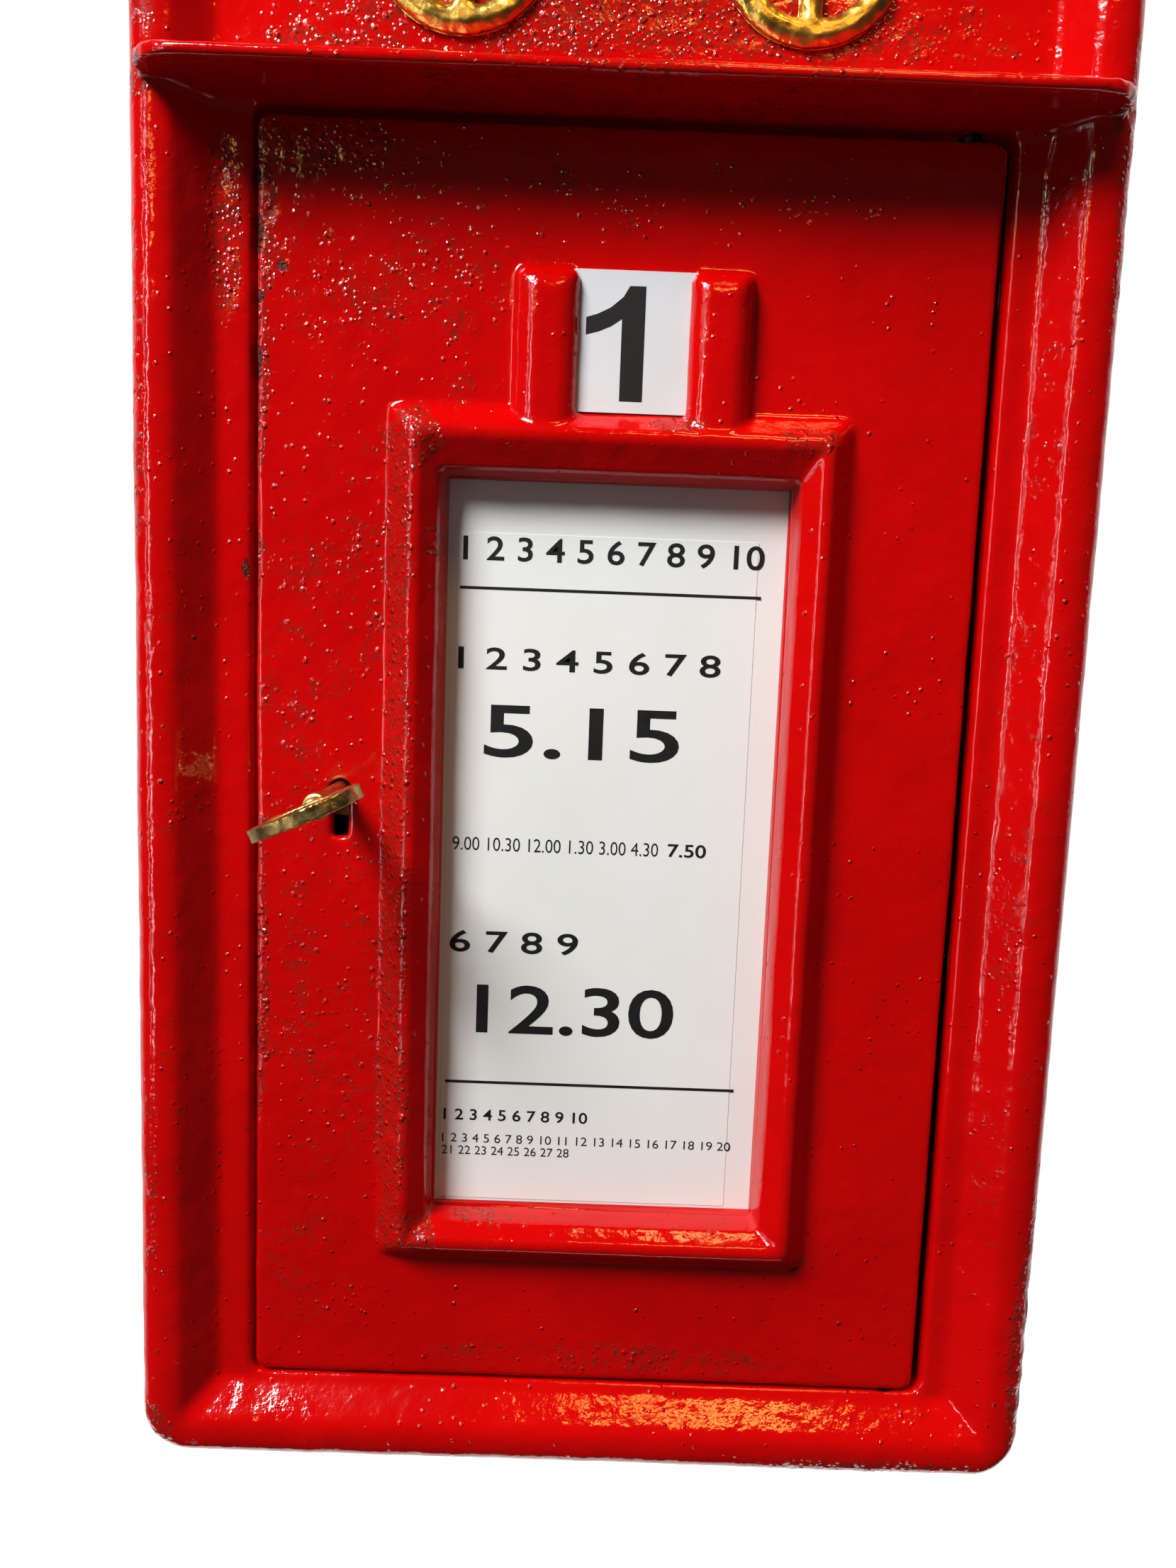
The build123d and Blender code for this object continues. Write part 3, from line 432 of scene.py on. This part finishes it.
def enamel_white(name):
    """Glossy white enamel with a few stains."""
    s = Shader(name, IOR=1.5)
    colour = s.mix(s.ramp(s.noise(30, 3), 0.35, 0.7), (0.80, 0.81, 0.83), (0.74, 0.75, 0.77))
    colour = s.mix(s.ramp(s.noise(240, 4, 0.7), 0.70, 0.78, 0.0, 0.5), colour, (0.45, 0.42, 0.38))
    s.set("Base Color", colour).set("Roughness", s.ramp(s.noise(60, 3), 0.3, 0.7, 0.10, 0.2))
    s.bump(s.times(s.noise(110, 2), 0.05))
    return s.material


RED = red_enamel("red_paint")
GOLD = gold_paint("gold_paint")
SHEET = card("printed_sheet", (0.90, 0.92, 0.905))
INK = ink("black_ink")
KEY_BRASS = metal("key_brass", (0.38, 0.23, 0.05), (0.90, 0.68, 0.27), (0.24, 0.13, 0.04),
                  0.27, (1, 0.15, 1), 0.17, 380)
# dirty steel for the hinge pins, kept near black as painted shade, so that the door's gap where the
# pins show reads black
PIN_STEEL_AND_GAP_SHADE = metal("pin_steel_and_gap_shade", (0.025, 0.022, 0.020), (0.07, 0.06, 0.05), (0.02, 0.012, 0.010),
                   0.45, (1, 1, 0.3), 0.04)
SLOT_MATERIAL = {
    "red_paint": RED,
    "black_paint": black_paint("black_paint"),
    "gold_paint": GOLD,
    "printed_card": card("printed_card", (0.88, 0.90, 0.88)),
    "enamel_tablet": enamel_white("enamel_tablet"),
    "zinc_steel": metal("zinc_steel", (0.36, 0.37, 0.38), (0.58, 0.59, 0.60), (0.24, 0.23, 0.22),
                        0.38, (1, 1, 0.15), 0.03),
    "lock_steel": metal("lock_steel", (0.26, 0.26, 0.27), (0.44, 0.44, 0.45), (0.16, 0.13, 0.11),
                        0.34, (0.2, 1, 1), 0.03),
    "lock_brass": metal("lock_brass", (0.52, 0.36, 0.11), (0.74, 0.55, 0.22), (0.28, 0.18, 0.06),
                        0.30, (1, 1, 0.15), 0.03),
    "key_brass": KEY_BRASS,
}


def paint(obj, material):
    obj.data.materials.clear()
    obj.data.materials.append(material)


def finish_piece(obj, body, node):
    """The piece moves with a body, and the CAD node it stands for is hidden."""
    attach(obj, body)
    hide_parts(node)


# ---------------------------------------------------------------- painted castings
def patches(p, ovals):
    """The strongest of several oval patches at each point."""
    out = np.zeros(len(p))
    for x, z, rx, rz, strength in ovals:
        out = np.maximum(out, strength * spot(p, x, z, rx, rz))
    return out


# where each casting is gritty and where it has lost paint, as ovals:
# x, z, half width, half height, strength
DOOR_ROUGH = (
    (-95, 342, 7, 30, 0.95), (-78, 360, 34, 10, 0.75), (-96, 300, 5, 34, 1.0),
    (-96, 255, 4, 20, 0.6), (-70, 275, 26, 46, 0.28), (-54, 288, 8, 14, 0.9),
    (-57, 262, 6, 42, 0.95), (-48, 261, 4, 7, 0.7), (-57, 105, 8, 46, 1.0),
    (-56, 68, 9, 16, 0.7), (-95, 140, 4.5, 66, 0.85), (-82, 60, 24, 44, 0.34),
    (-90, 120, 10, 50, 0.3), (15, 293, 12, 4, 0.7), (-30, 74, 26, 6, 0.55), (30, 72, 22, 5, 0.35),
    (-66, 120, 8, 60, 0.35), (8, 345, 5, 5, 0.35), (60, 60, 8, 5, 0.4), (-68, 196, 8, 12, 0.35),
    (-60, 335, 66, 66, 0.36), (-74, 190, 40, 200, 0.34), (-57, 180, 7, 125, 0.85),
    (-52, 67, 12, 10, 1.0), (0, 350, 110, 14, 0.28), (0, 28, 100, 8, 0.45), (-54, 287, 12, 8, 1.0),
    (50, 290, 14, 7, 0.5),
)
DOOR_CHIPS = (
    (-95.5, 338, 2.8, 9, 1), (-95.5, 352, 2, 4, 0.9), (-95.5, 306, 2.4, 7, 1),
    (-95, 322, 2.2, 3, 1), (-89, 330, 3, 3, 0.8), (-95.8, 120, 1.4, 3, 0.7),
    (60, 58, 2, 1.4, 0.8), (-49, 262, 3, 5, 0.45),
)
BODY_ROUGH = (
    (-104, 340, 7, 34, 0.75), (-125, 300, 4, 80, 0.45), (125, 40, 7, 44, 0.9),
    (125, 350, 4, 60, 0.6),
    (-70, 384, 50, 8, 0.5), (60, 392, 70, 14, 0.35), (112, 310, 9, 60, 0.32),
    (-112, 180, 12, 60, 0.3), (80, 2, 50, 5, 0.6), (-123, 80, 4, 60, 0.4), (118, 200, 6, 90, 0.25),
    (-122, 392, 7, 18, 0.6), (-116, 190, 22, 230, 0.22), (116, 190, 22, 230, 0.26),
    (126, 45, 6, 60, 1.0), (-124, 8, 10, 10, 0.8), (0, 372, 130, 6, 0.35), (-124, 372, 8, 8, 0.8),
    (124, 372, 8, 8, 0.9), (0, 392, 120, 12, 0.75),
)
BODY_CHIPS = (
    (-98.8, 252, 2.2, 6, 1), (126.5, 24, 2, 9, 0.9), (126.5, 52, 2, 6, 0.9), (-127, 372, 2, 4, 0.8),
    (127, 372, 3, 5, 0.8), (60, -1, 9, 2, 0.8), (-112, 3, 4, 2, 0.8), (-127, 180, 1.5, 5, 0.8),
    (-98.5, 130, 1.5, 3, 0.7), (-98.5, 95, 1.5, 2.4, 0.7),
)


def casting(node, name, body, rough, chips, voxel, seam, grit, sink=0.0):
    """A casting whose front has a thick, wavy skin of paint, and whose rest is as cast. The two
    meet at a seam, in mm behind the door's face, where the skin has no unevenness left. The skin
    is made with a spare strip behind the seam, so that its softened edge can be cut off."""
    spare = 1.5
    fade_from, fade_to = seam - 2.5, seam - 0.5
    front = cad_copy(node, name + "_front")
    back = cad_copy(node, name + "_back")
    cut(front, FACE + (seam + spare) * MM, True)
    remesh(front, voxel, 4)
    p = points(front)
    n = normals(front)
    masks = {"rough": patches(p, rough), "chip": patches(p, chips)}
    away = 1 - step(fade_from, fade_to, (p[:, 1] - FACE) / MM)
    move = unevenness(p, (0.16, 0.034, 1), (0.13, 0.016, 2), (0.08, 0.007, 3), (0.045, 0.0032, 4))
    move += masks["rough"] * unevenness(p, *grit)
    move -= sink
    set_points(front, p + n * (away * move * MM)[:, None])
    for key, values in masks.items():
        attribute(front, key, values)
    cut(front, FACE + seam * MM, True)
    cut(back, FACE + seam * MM, False)
    for part in (front, back):
        smooth(part, 55)
    obj = join(name, front, back)
    keep_flats(obj)
    paint(obj, RED)
    finish_piece(obj, body, node)


def castings():
    casting("door_casting", "door_paint", "door", DOOR_ROUGH, DOOR_CHIPS, 0.9 * MM, 3.0,
            ((0.22, 0.0035, 5), (0.14, 0.0022, 6)))
    # the body's paint sinks a little, to stay inside the casting's own box
    casting("body_casting", "body_paint", "box", BODY_ROUGH, BODY_CHIPS, 1.1 * MM, 4.0,
            ((0.22, 0.004, 5), (0.14, 0.0025, 6)), sink=0.25)


# ---------------------------------------------------------------- gold sprigs
def sprigs():
    """The sprigs, with fronts that fall away near the rim and are hammered all over."""
    slope, fall = 2.6, 1.5         # how wide the rim's slope is, and how far it falls, in mm
    obj = cad_copy("gold_ornaments", "gold_sprigs")
    remesh(obj, 0.45 * MM, 2)
    p = points(obj)
    n = normals(obj)
    rim = p[np.abs(n[:, 1]) < 0.5]
    tree = KDTree(len(rim))
    for i, q in enumerate(rim):
        tree.insert((q[0], 0, q[2]), i)
    tree.balance()
    far = np.array([tree.find((q[0], 0, q[2]))[2] for q in p]) / MM
    top = step(0.0, 2.0, (FACE - p[:, 1]) / MM)
    p[:, 1] += top * fall * (1 - np.clip(far / slope, 0, 1)) ** 1.5 * MM
    set_points(obj, p)
    move = (unevenness(p, (0.16, 0.0045, 11), (0.10, 0.002, 12)) - 0.1) * top
    set_points(obj, p + normals(obj) * (move * MM)[:, None])
    smooth(obj, 60)
    paint(obj, GOLD)
    finish_piece(obj, "box", "gold_ornaments")


# ---------------------------------------------------------------- notice
def prism(outline, depth0, depth1):
    """A flat shape given as (x, z) points in mm, made solid between two depths."""
    bm = bmesh.new()
    front = [bm.verts.new(place(x, depth0, z)) for x, z in outline]
    back = [bm.verts.new(place(x, depth1, z)) for x, z in outline]
    bm.faces.new(front)
    bm.faces.new(back[::-1])
    for i in range(len(outline)):
        j = (i + 1) % len(outline)
        bm.faces.new((front[j], front[i], back[i], back[j]))
    bm.normal_update()
    bmesh.ops.triangulate(bm, faces=[f for f in bm.faces if len(f.verts) > 4])
    bmesh.ops.recalc_face_normals(bm, faces=bm.faces)
    return bm


def bar(x0, x1, z0, z1, depth0, depth1):
    """A straight-edged flat bar."""
    return prism([(x0, z0), (x1, z0), (x1, z1), (x0, z1)], depth0, depth1)


def numerals(text, x0, x1, z0, z1, depth0, depth1, weight):
    """Plain numerals on one line, as a thin solid print from x0 to x1 and from z0 to z1."""
    curve = bpy.data.curves.new("line", "FONT")
    curve.body = text
    curve.size = 1.0
    curve.offset = weight
    curve.extrude = 0.5
    curve.resolution_u = 5
    obj = new_object("line", curve)
    graph = bpy.context.evaluated_depsgraph_get()
    mesh = bpy.data.meshes.new_from_object(obj.evaluated_get(graph))
    bpy.data.objects.remove(obj)
    bm = bmesh.new()
    bm.from_mesh(mesh)
    bmesh.ops.remove_doubles(bm, verts=bm.verts, dist=1e-5)
    xs = [v.co.x for v in bm.verts]
    ys = [v.co.y for v in bm.verts]
    high = (z1 - z0) / (max(ys) - min(ys))
    wide = (x1 - x0) / (max(xs) - min(xs))
    for v in bm.verts:
        x = x0 + (v.co.x - min(xs)) * wide
        z = z0 + (v.co.y - min(ys)) * high
        v.co = place(x, (depth0 + depth1) / 2 - v.co.z * (depth1 - depth0), z)
    bmesh.ops.recalc_face_normals(bm, faces=bm.faces)
    return bm


def gather(name, parts):
    """One object from several solids."""
    mesh = bpy.data.meshes.new(name)
    whole = bmesh.new()
    for bm in parts:
        piece = bpy.data.meshes.new("piece")
        bm.to_mesh(piece)
        whole.from_mesh(piece)
        bm.free()
    whole.to_mesh(mesh)
    whole.free()
    return new_object(name, mesh)


# the notice's lines: text or a rule, left, right, low, high, and the weight of the strokes
LINES = (
    ("1 2 3 4 5 6 7 8 9 10", -41.2, 40.9, 256.8, 263.4, 0.012),
    ("rule", -41.9, 40.5, 249.0, 249.8, 0.0),
    ("1 2 3 4 5 6 7 8", -41.9, 30.5, 227.2, 233.4, 0.012),
    ("5.15", -34.2, 20.0, 203.0, 217.6, 0.010),
    ("9.00 10.30 12.00 1.30 3.00 4.30", -42.3, 15.5, 176.5, 180.3, -0.004),
    ("7.50", 18.2, 29.0, 176.5, 180.3, 0.014),
    ("6 7 8 9", -42.5, -6.0, 147.0, 153.4, 0.012),
    ("12.30", -34.4, 22.0, 123.3, 137.8, 0.010),
    ("rule", -42.9, 40.4, 108.2, 109.0, 0.0),
    ("1 2 3 4 5 6 7 8 9 10", -43.1, -1.5, 97.0, 100.4, 0.012),
    ("1 2 3 4 5 6 7 8 9 10 11 12 13 14 15 16 17 18 19 20", -43.4, 40.3, 90.3, 92.9, -0.002),
    ("21 22 23 24 25 26 27 28", -43.4, -6.5, 86.6, 89.2, -0.002),
)


def notice():
    """The printed sheet, and the print, which stands a hair proud of it. The sheet is smaller than
    the window, so that strips of the card show beside it and above it."""
    sheet_front, sheet_back = 5.90, 6.04
    print_front, print_back = 5.84, 5.93
    left, right, low, high = WINDOW
    sheet = gather("notice_sheet", [bar(left + 1.2, right - 7.5, low + 0.8, high - 14.0,
                                        sheet_front, sheet_back)])
    paint(sheet, SHEET)
    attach(sheet, "door")
    lines = [bar(*where, print_front, print_back) if text == "rule"
             else numerals(text, *where, print_front, print_back, weight)
             for text, *where, weight in LINES]
    printing = gather("notice_print", lines)
    paint(printing, INK)
    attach(printing, "door")


def tablet_figure():
    """The plain figure on the number tablet."""
    front, back = -1.90, -1.82
    figure = [(5.4, 298.7), (5.4, 327.7), (1.2, 327.7), (-0.4, 324.9), (-3.6, 322.2),
              (-7.0, 320.5), (-9.9, 319.6), (-9.9, 315.2), (-6.6, 316.1), (-3.4, 317.5),
              (-0.6, 319.4), (-0.6, 298.7)]
    obj = gather("tablet_figure", [prism(figure, front, back)])
    paint(obj, INK)
    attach(obj, "tablet")


# ---------------------------------------------------------------- key
def key():
    """The key with softened edges, and dents in its bow, which fade out along the shank."""
    dented_to, fade_from = FACE - 20 * MM, FACE - 30 * MM
    obj = cad_copy("key", "brass_key")
    remesh(obj, 0.32 * MM, 2, 0.4)
    p = points(obj)
    n = normals(obj)
    bow = 1 - step(fade_from, dented_to, p[:, 1])
    move = bow * (unevenness(p, (0.24, 0.006, 21), (0.12, 0.0022, 22)) - 0.12)
    set_points(obj, p + n * (move * MM)[:, None])
    smooth(obj, 50)
    paint(obj, KEY_BRASS)
    finish_piece(obj, "key", "key")


castings()
sprigs()
notice()
tablet_figure()
key()

for row in frame["record"]["subparts"]:
    node = frame["nodes"][row["node"]]
    if not node.hide_render:
        # the hinge pins take the near-black steel that is painted shade in the door's gap
        hinge = row["node"].startswith("hinge")
        paint(node, PIN_STEEL_AND_GAP_SHADE if hinge else SLOT_MATERIAL[row["material_slot"]])


# ---------------------------------------------------------------- stage, light and camera
def floor():
    """A round pale floor below and behind the box, shown white to the camera and in reflections."""
    level, radius, set_back, glow_strength = -0.49, 0.46, 0.24, 0.74
    mesh = bpy.data.meshes.new("floor")
    bm = bmesh.new()
    rim = [bm.verts.new((radius * math.cos(a), set_back + radius * math.sin(a), level))
           for a in (math.radians(5 * i) for i in range(72))]
    bm.faces.new(rim)
    bm.to_mesh(mesh)
    bm.free()
    obj = new_object("floor", mesh)
    s = Shader("floor", IOR=1.4)
    s.set("Base Color", s.mix(s.noise(3, 2), (0.80, 0.80, 0.80), (0.78, 0.78, 0.78)))
    s.set("Roughness", 0.8)
    path = s.node("LightPath").outputs
    seen = s.most(path["Is Camera Ray"], s.most(path["Is Glossy Ray"], path["Is Transmission Ray"]))
    glow = s.node("Emission", {"Color": (1, 1, 1, 1), "Strength": s.times(seen, glow_strength)})
    both = s.node("AddShader", {0: s.bsdf.outputs[0], 1: glow.outputs[0]})
    s.tree.links.new(both.outputs[0], s.out.inputs[0])
    paint(obj, s.material)


def world():
    """A dim room all round that lights the object softly, and a white background that the camera
    sees and that shows in metal and glass. In a reflection, what lies in front is the dim room."""
    ambient, mirrored = 0.075, 0.03        # the room's light, and how bright it is in a reflection
    studio = bpy.data.worlds.new("studio")
    scene.world = studio
    studio.use_nodes = True
    tree = studio.node_tree
    tree.nodes.clear()

    def node(kind, *inputs, **settings):
        n = tree.nodes.new("ShaderNode" + kind)
        for key, value in settings.items():
            setattr(n, key, value)
        for key, value in inputs:
            if isinstance(value, bpy.types.NodeSocket):
                tree.links.new(value, n.inputs[key])
            else:
                n.inputs[key].default_value = value
        return n.outputs

    def math_node(op, a, b):
        return node("Math", (0, a), (1, b), operation=op)[0]

    path = node("LightPath")
    glossy = path["Is Glossy Ray"]
    axes = node("SeparateXYZ", (0, node("TexCoord")["Generated"]))
    behind = node("MapRange", ("Value", axes[1]), ("From Min", -0.05), ("From Max", 0.45),
                  interpolation_type="SMOOTHSTEP")[0]
    seen = math_node("MAXIMUM", path["Is Camera Ray"], path["Is Transmission Ray"])
    seen = math_node("MAXIMUM", seen, math_node("MULTIPLY", glossy, behind))
    dim = math_node("SUBTRACT", ambient, math_node("MULTIPLY", glossy, ambient - mirrored))
    room = node("Background", (0, (1, 0.98, 0.96, 1)), (1, dim))[0]
    white = node("Background", (0, (1, 1, 1, 1)))[0]
    node("OutputWorld", (0, node("MixShader", (0, seen), (1, room), (2, white))[0]))


def lamp(name, where, size, watts, colour=(1, 1, 1), shows=True, lights=True, aim=(0, FACE, 0.03)):
    """An area light; it can leave out its own mirror image, or give nothing but that."""
    light = bpy.data.lights.new(name, "AREA")
    light.shape = "RECTANGLE"
    light.size, light.size_y = size
    light.energy = watts
    light.color = colour
    obj = new_object(name, light)
    obj.location = where
    obj.rotation_euler = (Vector(aim) - Vector(where)).to_track_quat("-Z", "Y").to_euler()
    obj.visible_camera = False
    obj.visible_glossy = shows
    obj.visible_diffuse = lights


def camera():
    """The camera stands about a third of a metre from the door and looks a little down."""
    cam = bpy.data.cameras.new("camera")
    cam.sensor_width = 36.0
    cam.lens = 1700.0 * cam.sensor_width / 2212.0
    cam.clip_start = 0.01
    cam.clip_end = 50.0
    obj = new_object("camera", cam)
    tilt, yaw, roll = math.radians(7.50), math.radians(0.307), math.radians(2.143)
    turn = (Matrix.Rotation(-yaw, 4, "Z") @ Matrix.Rotation(math.radians(90) - tilt, 4, "X")
            @ Matrix.Rotation(roll, 4, "Z"))
    obj.matrix_world = Matrix.Translation((-0.00666, -0.49570, 0.00035)) @ turn
    scene.camera = obj


floor()
world()
lamp("window_left", (-0.90, -1.15, 1.25), (0.64, 0.64), 51)
lamp("strip_left", (-0.97, -1.23, 0.05), (0.028, 1.3), 3.6, lights=False)
lamp("strip_far_left", (-1.16, -0.98, 0.05), (0.015, 1.3), 1.4, lights=False)
lamp("warm_high", (0.25, -0.60, 1.20), (0.35, 0.16), 2.6, (1.0, 0.60, 0.20))
lamp("warm_low", (0.15, -0.75, 0.55), (0.26, 0.05), 0.9, (1.0, 0.52, 0.10), lights=False)
lamp("warm_left", (-0.54, -1.15, 0.46), (0.10, 0.08), 0.36, (1.0, 0.66, 0.16), lights=False)
lamp("behind", (0.4, 1.7, 0.9), (1.4, 1.0), 30, shows=False)
lamp("right_side", (1.75, 0.45, 0.85), (1.0, 1.0), 34, shows=False, aim=(0, 0, 0.03))
lamp("left_side", (-1.75, 0.45, 0.85), (1.0, 1.0), 20, shows=False, aim=(0, 0, 0.03))
camera()

scene.view_settings.view_transform = "Standard"

bpy.context.view_layer.update()
